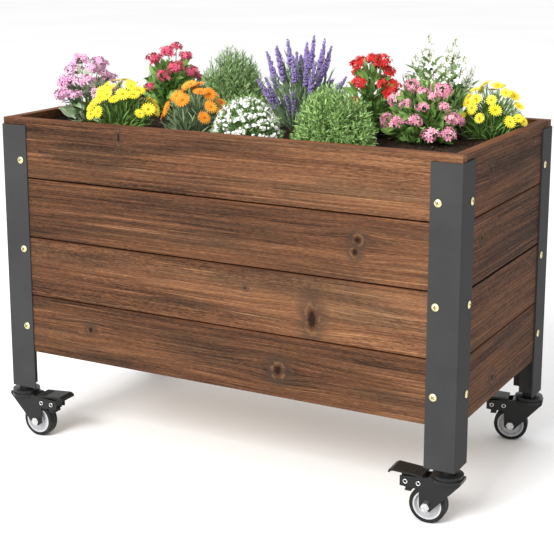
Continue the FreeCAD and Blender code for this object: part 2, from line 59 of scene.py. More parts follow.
class Shader:
    """One material, with short calls that add nodes and return their outputs."""

    def __init__(self, name, roughness=0.5, metallic=0.0, specular=0.5):
        self.material = bpy.data.materials.new(name)
        self.material.use_nodes = True
        self.tree = self.material.node_tree
        self.surface = self.tree.nodes["Principled BSDF"]
        self.surface.inputs["Roughness"].default_value = roughness
        self.surface.inputs["Metallic"].default_value = metallic
        self.surface.inputs["Specular IOR Level"].default_value = specular

    def node(self, kind, inputs, **properties):
        """A node of this kind. An input is a number, a vector or another node's output."""
        made = self.tree.nodes.new(kind)
        for key, value in properties.items():
            setattr(made, key, value)
        for key, value in inputs.items():
            socket = made.inputs[key]
            if isinstance(value, bpy.types.NodeSocket):
                self.tree.links.new(value, socket)
            else:
                socket.default_value = value
        return made

    def point(self):
        """The point on the piece, in metres."""
        return self.node("ShaderNodeTexCoord", {}).outputs["Object"]

    def place(self):
        """The point on the piece as separate x, y and z."""
        split = self.node("ShaderNodeSeparateXYZ", {0: self.point()})
        return dict(zip("XYZ", split.outputs))

    def math(self, operation, first, second=0.0, third=0.0):
        inputs = {0: first, 1: second, 2: third}
        return self.node("ShaderNodeMath", inputs, operation=operation).outputs[0]

    def scaled(self, value, slope, start):
        """Value times slope, plus start."""
        return self.math("MULTIPLY_ADD", value, slope, start)

    def join(self, x, y, z):
        return self.node("ShaderNodeCombineXYZ", {0: x, 1: y, 2: z}).outputs[0]

    def noise(self, vector, scale=1.0, detail=3.0, roughness=0.55, distortion=0.0):
        inputs = {"Vector": vector, "Scale": scale, "Detail": detail}
        inputs.update({"Roughness": roughness, "Distortion": distortion})
        return self.node("ShaderNodeTexNoise", inputs).outputs[0]

    def spread(self, value, low, high, out_low=0.0, out_high=1.0):
        """Value from low to high, as out_low to out_high, held at the ends."""
        inputs = {"Value": value, "From Min": low, "From Max": high}
        inputs.update({"To Min": out_low, "To Max": out_high})
        return self.node("ShaderNodeMapRange", inputs, interpolation_type="SMOOTHSTEP").outputs[0]

    def ramp(self, factor, stops):
        """Colours along factor, given as (position, colour)."""
        made = self.node("ShaderNodeValToRGB", {0: factor})
        elements = made.color_ramp.elements
        while len(elements) < len(stops):
            elements.new(0.5)
        for element, (position, colour) in zip(elements, stops):
            element.position = position
            element.color = (*colour, 1)
        return made.outputs[0]

    def mix(self, factor, first, second, blend="MIX"):
        """Second over first; each is a colour or an output."""
        pair = [c if isinstance(c, bpy.types.NodeSocket) else (*c, 1) for c in (first, second)]
        inputs = {0: factor, 6: pair[0], 7: pair[1]}
        return self.node("ShaderNodeMix", inputs, data_type="RGBA", blend_type=blend).outputs[2]

    def attribute(self, name):
        return self.node("ShaderNodeAttribute", {}, attribute_name=name).outputs["Fac"]

    def colour(self, value):
        self.tree.links.new(value, self.surface.inputs["Base Color"])

    def finish(self, colour, rough, height, distance, strength):
        """Links the colour, the roughness and a bump from height, and returns the material."""
        self.colour(colour)
        self.tree.links.new(rough, self.surface.inputs["Roughness"])
        bump = self.node("ShaderNodeBump", {"Height": height, "Distance": distance, "Strength": strength})
        self.tree.links.new(bump.outputs[0], self.surface.inputs["Normal"])
        return self.material


# ---- materials

WOOD_STOPS = [
    (0.0, (0.010, 0.006, 0.005)),
    (0.25, (0.032, 0.016, 0.010)),
    (0.5, (0.105, 0.046, 0.023)),
    (0.75, (0.210, 0.098, 0.046)),
    (1.0, (0.370, 0.200, 0.095)),
]
PLAIN_WOOD_STOPS = [
    (0.0, (0.20, 0.12, 0.06)),
    (0.5, (0.42, 0.28, 0.16)),
    (1.0, (0.62, 0.46, 0.30)),
]


def wood(name, along, seed, tone_and_side_shade=0.0, slope=0.0, knots=(), stops=WOOD_STOPS, sawn=0.0, rim=False):
    """Flat-sawn softwood under stain. The grain runs along one axis and flows round each knot, given
    as (place along the grain, height, radius, how tall for its width). The stain is lighter towards
    the positive end by slope, and sawn is how far rough-sawn dashes darken it. Stained boards get
    painted shade on the faces that point up or down, their edges, made near black so that the gaps
    between boards read dark; the top edge of a rim and of a board with knots is coloured a streaky
    red-brown instead."""
    shader = Shader(name, specular=0.05)
    axes = shader.place()
    run = axes[along]
    depth = axes["Y" if along == "X" else "X"]
    height = axes["Z"]
    flow = height
    nearest = 9.0
    for knot_run, knot_height, radius, tall in knots:
        across = shader.math("SUBTRACT", height, knot_height)
        beside = shader.math("SUBTRACT", run, knot_run)
        upward = shader.math("DIVIDE", across, tall)
        squared = shader.scaled(beside, beside, shader.math("MULTIPLY", upward, upward))
        near = shader.math("DIVIDE", shader.math("SQRT", squared), radius)
        nearest = shader.math("MINIMUM", nearest, near)
        drawn_out = shader.math("DIVIDE", beside, 2.4)
        away = shader.scaled(drawn_out, drawn_out, shader.math("MULTIPLY", across, across))
        pull = shader.math("DIVIDE", 1.2 * radius**2, shader.math("ADD", away, 0.8 * radius**2))
        flow = shader.math("SUBTRACT", flow, shader.math("MULTIPLY", across, pull))

    def grain(per_run, per_flow, detail, shift, per_depth=30.0):
        """Noise drawn out along the grain: how many features a metre holds each way."""
        x = shader.scaled(run, per_run, seed * 7.31 + shift)
        y = shader.scaled(depth, per_depth, shift)
        z = shader.scaled(flow, per_flow, seed * 3.17)
        return shader.noise(shader.join(x, y, z), detail=detail, roughness=0.62)

    bands = grain(1.2, 24, 4.0, 2.0, per_depth=6.0)
    streaks = grain(2.8, 250, 4.0, 5.0)
    lines = grain(6.0, 520, 2.0, 7.0, per_depth=80.0)
    fibres = grain(90.0, 900, 3.0, 9.0, per_depth=200.0)
    bright = shader.spread(grain(3.5, 300, 2.0, 14.0), 0.60, 0.70)
    rough_area = shader.spread(grain(1.8, 16, 2.0, 17.0, per_depth=4.0), 0.42, 0.58)
    dashes = shader.spread(grain(80.0, 430, 2.0, 12.0, per_depth=150.0), 0.46, 0.60)
    sawing = shader.math("MULTIPLY", dashes, rough_area)
    faded = shader.spread(grain(2.4, 22, 4.0, 20.0, per_depth=4.0), 0.47, 0.62)

    weights = ((bands, 0.80), (streaks, 0.60), (lines, 0.50), (fibres, 0.65))
    middle = 0.5 - 0.5 * sum(weight for _, weight in weights)
    value = shader.scaled(run, slope, tone_and_side_shade + middle)
    for layer, weight in weights:
        value = shader.scaled(layer, weight, value)
    value = shader.scaled(bright, 0.24, value)
    value = shader.scaled(sawing, -sawn, value)
    stained = shader.ramp(value, stops)
    stained = shader.mix(faded, stained, (0.70, 0.79, 0.86), blend="MULTIPLY")
    if knots:
        coarse = shader.noise(shader.join(run, depth, height), scale=70.0, detail=3.0)
        fine = shader.noise(shader.join(run, depth, height), scale=260.0, detail=2.0)
        coarse_share, fine_share = 1.1, 0.5
        centred = shader.math("SUBTRACT", nearest, (coarse_share + fine_share) / 2)
        edge = shader.scaled(coarse, coarse_share, centred)
        edge = shader.scaled(fine, fine_share, edge)
        halo = shader.spread(edge, 0.9, 3.4, 0.66, 0.0)
        body = shader.spread(edge, 0.70, 1.15, 0.9, 0.0)
        core = shader.spread(edge, 0.35, 0.95, 0.95, 0.0)
        from_ring = shader.math("ABSOLUTE", shader.math("SUBTRACT", edge, 1.2))
        ring = shader.spread(from_ring, 0.05, 0.30, 0.45, 0.0)
        ring = shader.math("MULTIPLY", ring, shader.spread(coarse, 0.46, 0.58))
        stained = shader.mix(halo, stained, (0.040, 0.028, 0.020))
        stained = shader.mix(body, stained, (0.085, 0.034, 0.016))
        stained = shader.mix(core, stained, (0.012, 0.007, 0.005))
        stained = shader.mix(ring, stained, (0.210, 0.105, 0.048))
    if stops is WOOD_STOPS:
        # Painted shade: faces that point up or down, the edges of stained boards, are made near black so
        # that the gaps between boards read dark.
        normal = shader.node("ShaderNodeNewGeometry", {}).outputs["Normal"]
        upward = shader.node("ShaderNodeSeparateXYZ", {0: normal}).outputs[2]
        painted_gap_shade = shader.spread(shader.math("ABSOLUTE", upward), 0.5, 0.9)
        stained = shader.mix(painted_gap_shade, stained, (0.004, 0.0025, 0.002))
        if rim or knots:
            # The top edges of the rim and of boards with knots are coloured a streaky red-brown in place of
            # the near-black edge.
            top_edge_red_brown = shader.ramp(streaks, [(0.3, (0.075, 0.028, 0.013)), (0.7, (0.185, 0.072, 0.034))])
            stained = shader.mix(shader.spread(upward, 0.5, 0.9), stained, top_edge_red_brown)
    rough = shader.scaled(streaks, -0.25, 0.75)
    relief = shader.math("SUBTRACT", shader.scaled(fibres, 0.6, streaks), sawing)
    return shader.finish(stained, rough, relief, 0.35 * MM, 0.6)


def powder_coat(name, colour, roughness=0.42, grain=900.0, specular=0.4):
    """Baked paint with orange-peel texture, scuffs and a little dust."""
    shader = Shader(name, roughness=roughness, specular=specular)
    point = shader.point()
    peel = shader.noise(point, scale=grain, detail=3.0)
    cloud = shader.noise(point, scale=9.0, detail=4.0)
    dark = tuple(0.86 * c for c in colour)
    light = tuple(min(1.0, 1.16 * c) for c in colour)
    painted = shader.ramp(shader.scaled(peel, 0.35, cloud), [(0.4, dark), (0.9, light)])
    rough = shader.scaled(cloud, 0.25, roughness - 0.12)
    return shader.finish(painted, rough, peel, 0.12 * MM, 0.7)


def bare_metal(name, dark, light, roughness):
    """Plated or polished steel with fine scratches and cloudy plating."""
    shader = Shader(name, roughness=roughness, metallic=1.0)
    axes = shader.place()
    cloud = shader.noise(shader.point(), scale=260.0, detail=4.0)
    drawn = shader.join(axes["X"], shader.math("MULTIPLY", axes["Z"], 14.0), axes["Y"])
    scratch = shader.noise(drawn, scale=600.0)
    rough = shader.scaled(scratch, 0.22, roughness - 0.1)
    return shader.finish(shader.ramp(cloud, [(0.35, dark), (0.65, light)]), rough, scratch, 0.05 * MM, 0.5)


def rubber(name):
    """Black tread rubber, dusty where it rolls."""
    shader = Shader(name, specular=0.15)
    point = shader.point()
    grain = shader.noise(point, scale=700.0, detail=3.0)
    dust = shader.spread(shader.noise(point, scale=60.0, detail=4.0), 0.45, 0.75)
    dusty = shader.mix(dust, (0.011, 0.011, 0.011), (0.034, 0.033, 0.031))
    rough = shader.scaled(grain, 0.2, 0.5)
    return shader.finish(dusty, rough, grain, 0.08 * MM, 0.6)


def moulded(name, colour):
    """Moulded plastic wheel centre, with faint flow marks."""
    shader = Shader(name, roughness=0.35)
    flow = shader.noise(shader.point(), scale=140.0, detail=3.0, distortion=1.5)
    dark = tuple(0.78 * c for c in colour)
    rough = shader.scaled(flow, 0.2, 0.26)
    return shader.finish(shader.ramp(flow, [(0.3, dark), (0.7, colour)]), rough, flow, 0.05 * MM, 0.5)


def earth(name):
    """Moist potting soil: near black, with brown crumbs."""
    shader = Shader(name, roughness=0.95, specular=0.2)
    point = shader.point()
    crumbs = shader.noise(point, scale=170.0, detail=5.0, roughness=0.7)
    clods = shader.noise(point, scale=38.0, detail=3.0)
    value = shader.scaled(clods, 0.5, shader.math("MULTIPLY", crumbs, 0.6))
    stops = [(0.3, (0.006, 0.004, 0.003)), (0.55, (0.026, 0.015, 0.009)), (0.75, (0.075, 0.042, 0.024))]
    rough = shader.scaled(crumbs, 0.2, 0.8)
    return shader.finish(shader.ramp(value, stops), rough, crumbs, 2.5 * MM, 1.0)


def felt(name):
    """Black non-woven liner cloth: matted fibres with pressed dimples."""
    shader = Shader(name, roughness=0.95, specular=0.2)
    shader.surface.inputs["Sheen Weight"].default_value = 0.3
    point = shader.point()
    fibres = shader.noise(point, scale=1100.0, detail=4.0, roughness=0.75, distortion=2.0)
    dimples = shader.noise(point, scale=420.0, detail=1.0)
    black = shader.ramp(fibres, [(0.35, (0.006, 0.006, 0.006)), (0.7, (0.030, 0.030, 0.030))])
    rough = shader.scaled(fibres, 0.1, 0.88)
    return shader.finish(black, rough, shader.math("ADD", fibres, dimples), 0.4 * MM, 0.8)


def growth(name, base, tip, varied, mottle=0.25, glow=0.0):
    """Leaf, petal or bud: a colour from base to tip, shifted from one to the next by its tint, with
    mottling. Thin tissue lets some light through."""
    roughness = 0.55
    shader = Shader(name, roughness=roughness, specular=0.35)
    shader.surface.inputs["Subsurface Weight"].default_value = glow
    shader.surface.inputs["Subsurface Radius"].default_value = (0.004, 0.003, 0.002)
    shader.surface.inputs["Subsurface Scale"].default_value = 0.5
    spots = shader.noise(shader.point(), scale=420.0, detail=3.0)
    shifted = shader.math("SUBTRACT", shader.attribute("along"), mottle / 2)
    plain = shader.ramp(shader.scaled(spots, mottle, shifted), [(0.0, base), (1.0, tip)])
    tinted = shader.mix(shader.attribute("tint"), plain, shader.mix(0.75, plain, varied))
    rough = shader.scaled(spots, 0.25, roughness - 0.12)
    return shader.finish(tinted, rough, spots, 0.3 * MM, 0.5)


# ---- many small shapes in one mesh


def unit(vectors):
    return vectors / np.maximum(np.linalg.norm(vectors, axis=-1, keepdims=True), 1e-9)


def facing(directions, dice, spin=None):
    """Rotation matrices whose third column is each direction, turned about it at random."""
    forward = unit(np.asarray(directions, float))
    other = np.where(np.abs(forward[:, 2:3]) < 0.9, [[0.0, 0.0, 1.0]], [[1.0, 0.0, 0.0]])
    side = unit(np.cross(other, forward))
    up = np.cross(forward, side)
    turn = dice.uniform(0, 2 * math.pi, len(forward)) if spin is None else np.full(len(forward), spin)
    cos, sin = np.cos(turn)[:, None], np.sin(turn)[:, None]
    return np.stack([side * cos + up * sin, up * cos - side * sin, forward], axis=2)


def grid_faces(rows, columns, closed=False):
    """Quads between the points of a grid, row by row; closed joins its last column to its first."""
    last = columns if closed else columns - 1
    faces = []
    for row in range(rows - 1):
        for column in range(last):
            right = (column + 1) % columns
            low, high = row * columns, (row + 1) * columns
            faces.append((low + column, low + right, high + right, high + column))
    return np.array(faces)


def blade(width, rows=4, fold=0.12, droop=0.25, widest=0.4, blunt=0.0):
    """A leaf or petal of length 1 along +Z: (points, faces, how far along each point is)."""
    points = []
    for row in range(rows + 1):
        along = row / rows
        shape = (along / widest if along < widest else (1 - along) / (1 - widest)) if row else 0.12
        least = blunt if row == rows else 0.06
        half = width / 2 * max(math.sin(min(shape, 1.0) * math.pi / 2) ** 0.8, least)
        sag = -droop * along**2
        points += [(-half, sag + fold * half, along), (0, sag, along), (half, sag + fold * half, along)]
    points = np.array(points)
    return points, grid_faces(rows + 1, 3), points[:, 2].copy()


def floret(petals, width, cup, rows=3):
    """A flower of radius 1 that faces +Z, with its petals spread round."""
    points, faces, along = [], [], []
    petal, petal_faces, petal_along = blade(width, rows, fold=0.1, droop=0.0, widest=0.65, blunt=0.35)
    for index in range(petals):
        angle = 2 * math.pi * index / petals
        out = petal[:, 2]
        rise = cup * out - 0.35 * cup * out**2 + 0.5 * petal[:, 1]
        x = out * math.cos(angle) - petal[:, 0] * math.sin(angle)
        y = out * math.sin(angle) + petal[:, 0] * math.cos(angle)
        points.append(np.stack([x, y, rise], axis=1))
        faces.append(petal_faces + index * len(petal))
        along.append(petal_along)
    return np.concatenate(points), np.concatenate(faces), np.concatenate(along)


def turned(profile, sides):
    """A surface turned about Z from a profile of (reach, height), closed all round."""
    points = []
    for reach, height in profile:
        for side in range(sides):
            angle = 2 * math.pi * side / sides
            points.append((reach * math.cos(angle), reach * math.sin(angle), height))
    return np.array(points), grid_faces(len(profile), sides, closed=True), np.zeros(len(points))


def bead(sides, rings, height, radius, fattest=0.45):
    """A closed bud along +Z."""
    profile = []
    for ring in range(rings + 1):
        along = ring / rings
        bulge = math.sin(math.pi * along ** (math.log(0.5) / math.log(fattest)))
        profile.append((radius * max(bulge, 0.05), height * along))
    points, faces, _ = turned(profile, sides)
    return points, faces, points[:, 2] / height


class Growth:
    """Gathers many copies of small shapes, then makes one mesh of them."""

    def __init__(self, seed):
        self.dice = np.random.default_rng(seed)
        self.points = []
        self.faces = []
        self.slots = []
        self.tints = []
        self.alongs = []
        self.count = 0

    def add(self, shape, places, turns, scales, slot):
        """Copies of a shape at places, turned by matrices and scaled, each with its own tint."""
        points, faces, along = shape
        places = np.asarray(places, float)
        scales = np.broadcast_to(np.asarray(scales, float).reshape(-1, 1, 1), (len(places), 1, 1))
        moved = np.einsum("mij,nj->mni", turns, points) * scales + places[:, None, :]
        tint = self.dice.uniform(0, 1, len(places))
        self.take(moved, faces, np.broadcast_to(along, moved.shape[:2]), tint, slot)

    def take(self, moved, faces, along, tint, slot):
        """Copies given as an array of copy, point and coordinate."""
        copies, size = moved.shape[:2]
        starts = self.count + size * np.arange(copies)
        self.points.append(moved.reshape(-1, 3))
        self.faces.append((faces[None] + starts[:, None, None]).reshape(-1, 4))
        self.slots.append(np.full(copies * len(faces), slot))
        self.tints.append(np.repeat(tint, size))
        self.alongs.append(np.asarray(along).reshape(-1))
        self.count += copies * size

    def stems(self, bases, tips, radius, slot, bow=0.12, sides=5, rings=5):
        """Bent stems from bases to tips."""
        bases, tips = np.asarray(bases, float), np.asarray(tips, float)
        run = tips - bases
        bend = bow * np.linalg.norm(run[:, :2], axis=1, keepdims=True)
        middle = (bases + tips) / 2 - run * [[0.5, 0.5, 0]] * bow * 2 + [[0, 0, 1]] * bend
        moved, alongs = [], []
        for ring in range(rings):
            t = ring / (rings - 1)
            centre = (1 - t) ** 2 * bases + 2 * t * (1 - t) * middle + t**2 * tips
            ahead = unit(2 * (1 - t) * (middle - bases) + 2 * t * (tips - middle))
            frames = facing(ahead, self.dice, spin=0.0)
            for side in range(sides):
                angle = 2 * math.pi * side / sides
                out = frames[:, :, 0] * math.cos(angle) + frames[:, :, 1] * math.sin(angle)
                moved.append(centre + out * radius * (1.15 - 0.4 * t))
                alongs.append(np.full(len(bases), t))
        moved = np.stack(moved, axis=1)
        tint = self.dice.uniform(0, 1, len(bases))
        self.take(moved, grid_faces(rings, sides, closed=True), np.stack(alongs, axis=1), tint, slot)

    def mesh(self, name, materials, smooth=True):
        """One object with everything that was gathered."""
        points = np.concatenate(self.points)
        faces = np.concatenate(self.faces)
        mesh = bpy.data.meshes.new(name)
        mesh.vertices.add(len(points))
        mesh.vertices.foreach_set("co", points.astype(np.float32).ravel())
        mesh.loops.add(faces.size)
        mesh.loops.foreach_set("vertex_index", faces.astype(np.int32).ravel())
        mesh.polygons.add(len(faces))
        mesh.polygons.foreach_set("loop_start", np.arange(0, faces.size, 4, dtype=np.int32))
        mesh.polygons.foreach_set("material_index", np.concatenate(self.slots).astype(np.int32))
        mesh.polygons.foreach_set("use_smooth", np.full(len(faces), smooth))
        for label, values in (("tint", self.tints), ("along", self.alongs)):
            layer = mesh.attributes.new(label, "FLOAT", "POINT")
            layer.data.foreach_set("value", np.concatenate(values).astype(np.float32))
        mesh.update(calc_edges=True)
        mesh.validate()
        for material in materials:
            mesh.materials.append(material)
        return link(name, mesh)


def link(name, data):
    """A new object in the scene."""
    made = bpy.data.objects.new(name, data)
    bpy.context.collection.objects.link(made)
    return made


def finish_piece(piece, body, slot, *nodes):
    """Rides the piece on its body and hides the CAD nodes that it stands for."""
    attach(piece, body)
    if nodes:
        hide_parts(*nodes)


# ---- planting


class Clump:
    """One plain dome of a CAD plant node: its middle on the soil, half widths and height. A plant
    that leans out past its dome is given its spread as shares of the dome's."""

    def __init__(self, low, high):
        self.base = np.append((low + high)[:2] / 2, low[2])
        self.reach = (high - low) / [2, 2, 1]

    def spread(self, along_x, along_y=1.0, up=1.0):
        half = self.reach * [along_x, along_y, up]
        low = self.base - half * [1, 1, 0]
        return Clump(low, low + half * [2, 2, 1])

    def spots(self, count, dice, low, inner=1.0, apart=0.0):
        """Points on the dome and the directions outwards there. low is the least height as a share,
        inner scales the dome, and apart keeps points that far from each other."""
        kept = []
        for _ in range(count * 40):
            height = dice.uniform(low, 1.0)
            angle = dice.uniform(0, 2 * math.pi)
            flat = math.sqrt(max(0.0, 1 - height**2))
            way = np.array([flat * math.cos(angle), flat * math.sin(angle), height])
            place = self.base + way * self.reach * inner
            if all(np.linalg.norm(place - other) > apart for other, _ in kept):
                kept.append((place, way))
            if len(kept) == count:
                break
        places = np.array([place for place, _ in kept])
        ways = unit(np.array([way for _, way in kept]) / self.reach * self.reach.mean())
        return places, ways

    def roots(self, places, share=0.25):
        """Where stems that reach these places leave the soil."""
        out = self.base + (places - self.base) * share
        out[:, 2] = self.base[2] - 4 * MM
        return out


def clumps(node):
    """The separate domes of a CAD plant node, from left to right. Between them is a wide gap in x."""
    mesh = frame["nodes"][node].data
    points = np.empty(len(mesh.vertices) * 3)
    mesh.vertices.foreach_get("co", points)
    points = points.reshape(-1, 3)
    points = points[np.argsort(points[:, 0])]
    least_gap = 25 * MM
    breaks = np.nonzero(np.diff(points[:, 0]) > least_gap)[0] + 1
    return [Clump(part.min(axis=0), part.max(axis=0)) for part in np.split(points, breaks)]


LEAF_GREEN = ((0.035, 0.090, 0.018), (0.130, 0.260, 0.050), (0.210, 0.350, 0.085))
BRIGHT_GREEN = ((0.050, 0.130, 0.022), (0.165, 0.330, 0.065), (0.270, 0.430, 0.120))
GREY_GREEN = ((0.070, 0.120, 0.055), (0.190, 0.280, 0.130), (0.300, 0.380, 0.220))
PALE_LEAF = ((0.110, 0.190, 0.080), (0.260, 0.370, 0.190), (0.520, 0.580, 0.430))


def leaves(plant, clump, count, length, shape, slot, depths, lift=0.35):
    """Leaves all through a clump, pointing outwards and a little up."""
    dice = plant.dice
    places, ways = clump.spots(count, dice, low=0.05)
    places = clump.base + (places - clump.base) * dice.uniform(*depths, (len(places), 1))
    ways = unit(ways + dice.normal(0, 0.35, ways.shape) + [0, 0, lift])
    sizes = length * dice.uniform(0.7, 1.2, len(places))
    plant.add(shape, places, facing(ways, dice), sizes, slot)


def cluster_heads(plant, clump, heads, radius, florets, slots, low=0.4):
    """Loose round heads of small five-petalled flowers on stems, as on a pentas plant."""
    dice = plant.dice
    petal_slot, eye_slot, stem_slot = slots
    places, ways = clump.spots(heads, dice, low=low, inner=0.93, apart=1.55 * radius)
    ways = unit(ways + [0, -0.2, 0.5])
    plant.stems(clump.roots(places), places - ways * radius * 0.3, 1.1 * MM, stem_slot)
    flower = floret(5, width=0.52, cup=0.12)
    eye = bead(sides=6, rings=2, height=0.3, radius=0.13)
    for place, way in zip(places, ways):
        size = radius * dice.uniform(0.7, 1.15)
        steps = np.arange(florets) + 0.5
        tilt = np.arccos(1 - steps / florets * 1.25)
        spin = steps * GOLDEN_ANGLE
        out = np.stack([np.sin(tilt) * np.cos(spin), np.sin(tilt) * np.sin(spin), np.cos(tilt)], axis=1)
        out = unit(out + dice.normal(0, 0.22, out.shape)) @ facing(way[None], dice)[0].T
        spots = place + out * size * dice.uniform(0.62, 1.15, (florets, 1)) * [1, 1, 0.72]
        turns = facing(out + dice.normal(0, 0.3, out.shape) + [0, 0, 0.25], dice)
        scale = size * 0.42 * dice.uniform(0.75, 1.2, florets)
        plant.add(flower, spots, turns, scale, petal_slot)
        plant.add(eye, spots, turns, scale, eye_slot)
        hearts = np.repeat(place[None] - way * size * 0.4, florets, axis=0)
        plant.stems(hearts, spots, 0.4 * MM, stem_slot, bow=0.0, sides=3, rings=2)


def daisies(plant, clump, heads, radius, slots):
    """Daisies: two rings of thin rays round a small domed disc, on thin stems."""
    dice = plant.dice
    ray_slot, disc_slot, stem_slot = slots
    places, ways = clump.spots(heads, dice, low=0.35, inner=0.97, apart=1.25 * radius)
    ways = unit(ways * [1, 1, 0.8] + dice.normal(0, 0.25, ways.shape) + [0, -0.35, 0.45])
    plant.stems(clump.roots(places), places, 0.9 * MM, stem_slot)
    sizes = radius * dice.uniform(0.8, 1.12, len(places))
    turns = facing(ways, dice)
    plant.add(floret(17, width=0.20, cup=0.10, rows=4), places, turns, sizes, ray_slot)
    upper = floret(14, width=0.18, cup=0.30, rows=4)
    plant.add(upper, places + ways * 0.4 * MM, facing(ways, dice), sizes * 0.85, ray_slot)
    dot = bead(sides=5, rings=2, height=0.14, radius=0.045)
    seeds = 36
    steps = (np.arange(seeds) + 0.5) / seeds
    reach = 0.19 * np.sqrt(steps)
    spin = steps * seeds * GOLDEN_ANGLE
    flat = np.stack([reach * np.cos(spin), reach * np.sin(spin), 0.10 - 1.5 * reach**2], axis=1)
    for place, turn, size in zip(places, turns, sizes):
        plant.add(dot, place + (flat * size) @ turn.T, np.repeat(turn[None], seeds, axis=0), size, disc_slot)


def shoots(plant, clump, count, needles, needle, slots, rise, low=0.1, share=0.45):
    """A bush of shoots clothed in needle leaves. needle is its length and width, and rise is how far
    the needles point along their shoot."""
    dice = plant.dice
    leaf_slot, stem_slot = slots
    length, width = needle
    tips, _ = clump.spots(count, dice, low=low, inner=0.97)
    tips = clump.base + (tips - clump.base) * dice.uniform(0.85, 1.0, (len(tips), 1))
    roots = clump.roots(tips, share=share)
    plant.stems(roots, tips, 0.7 * MM, stem_slot, sides=4, rings=3)
    steps = np.linspace(0.35, 1.0, needles)
    bases = (roots[:, None] + (tips - roots)[:, None] * steps[None, :, None]).reshape(-1, 3)
    ahead = np.repeat(unit(tips - roots), needles, axis=0)
    sideways = unit(np.cross(ahead, dice.normal(0, 1, ahead.shape)))
    spread = np.tile(1.0 - 0.55 * steps**4, len(tips))[:, None]
    ahead = unit(ahead * rise + sideways * spread)
    sizes = length * dice.uniform(0.75, 1.2, len(ahead)) * np.tile(1.05 - 0.35 * steps**3, len(tips))
    shape = blade(width / length, rows=2, fold=0.3, droop=0.12)
    plant.add(shape, bases, facing(ahead, dice), sizes, leaf_slot)


def pink_clusters():
    """Pentas: lilac-pink heads over pale leaves at the left, deeper pink over green at the right."""
    far, near = clumps("plant_pink_clusters")
    plant = Growth(11)
    far = far.spread(1.25, 0.95, 1.04)
    cluster_heads(plant, far, 19, 17 * MM, 28, (0, 2, 4))
    leaves(plant, far, 140, 32 * MM, blade(0.34, fold=0.2, droop=0.35), 5, depths=(0.3, 0.75))
    cluster_heads(plant, near.spread(1.15, 0.9), 24, 15 * MM, 24, (1, 2, 4), low=0.2)
    leaves(plant, near.spread(1.05, 0.85), 480, 25 * MM, blade(0.45, fold=0.2), 3, depths=(0.3, 0.85))
    materials = [
        growth("petal_lilac_pink", (0.50, 0.15, 0.34), (0.72, 0.36, 0.56), (0.80, 0.56, 0.70), glow=0.1),
        growth("petal_pink", (0.58, 0.12, 0.22), (0.78, 0.27, 0.41), (0.84, 0.48, 0.56), glow=0.1),
        growth("penta_eye", (0.50, 0.15, 0.22), (0.80, 0.60, 0.58), (0.85, 0.74, 0.66)),
        growth("penta_leaf", *BRIGHT_GREEN),
        growth("penta_stem", *LEAF_GREEN),
        growth("variegated_leaf", *PALE_LEAF),
    ]
    finish_piece(plant.mesh("pink_pentas", materials), ROOT, "pink_bloom", "plant_pink_clusters")


def daisy_beds():
    """Yellow daisies at both ends and orange ones between, over narrow leaves."""
    left, middle, right = clumps("plant_daisies")
    plant = Growth(23)
    for clump, heads, radius, ray_slot, disc_slot, leaf_slot in (
        (left.spread(1.15), 34, 14 * MM, 0, 2, 4),
        (middle.spread(1.1), 24, 15.5 * MM, 1, 3, 5),
        (right.spread(1.4), 27, 13.5 * MM, 0, 2, 4),
    ):
        daisies(plant, clump, heads, radius, (ray_slot, disc_slot, leaf_slot))
        narrow = blade(0.10, fold=0.25, droop=0.3)
        leaves(plant, clump, 800, 28 * MM, narrow, leaf_slot, depths=(0.25, 0.75), lift=0.7)
    materials = [
        growth("ray_yellow", (0.70, 0.47, 0.01), (0.88, 0.74, 0.02), (0.92, 0.82, 0.07), 0.15, 0.1),
        growth("ray_orange", (0.66, 0.15, 0.005), (0.86, 0.30, 0.010), (0.90, 0.40, 0.03), 0.15, 0.1),
        growth("disc_gold", (0.45, 0.24, 0.01), (0.76, 0.50, 0.02), (0.80, 0.58, 0.03)),
        growth("disc_orange", (0.35, 0.08, 0.01), (0.72, 0.24, 0.01), (0.76, 0.32, 0.02)),
        growth("daisy_leaf", *LEAF_GREEN),
        growth("daisy_leaf_grey", *GREY_GREEN),
    ]
    finish_piece(plant.mesh("daisy_plants", materials), ROOT, "daisy_bloom", "plant_daisies")


def red_clusters():
    """Crimson heads at the left, clear red at the right."""
    left, right = clumps("plant_red_clusters")
    plant = Growth(37)
    left, right = left.spread(1.12, 1.0, 1.06), right.spread(1.15, 1.0, 1.13)
    cluster_heads(plant, left, 15, 15.5 * MM, 27, (0, 2, 4))
    leaves(plant, left, 420, 28 * MM, blade(0.45, fold=0.2), 3, depths=(0.3, 0.76))
    cluster_heads(plant, right, 14, 15.5 * MM, 27, (1, 2, 4))
    leaves(plant, right, 340, 27 * MM, blade(0.45, fold=0.2), 3, depths=(0.3, 0.74))
    materials = [
        growth("petal_crimson", (0.36, 0.012, 0.05), (0.62, 0.045, 0.11), (0.74, 0.16, 0.26), glow=0.1),
        growth("petal_red", (0.34, 0.004, 0.006), (0.66, 0.012, 0.014), (0.74, 0.035, 0.03), glow=0.1),
        growth("red_eye", (0.40, 0.02, 0.04), (0.66, 0.14, 0.10), (0.76, 0.30, 0.22)),
        growth("red_leaf", *BRIGHT_GREEN),
        growth("red_stem", *LEAF_GREEN),
    ]
    finish_piece(plant.mesh("red_pentas", materials), ROOT, "red_bloom", "plant_red_clusters")


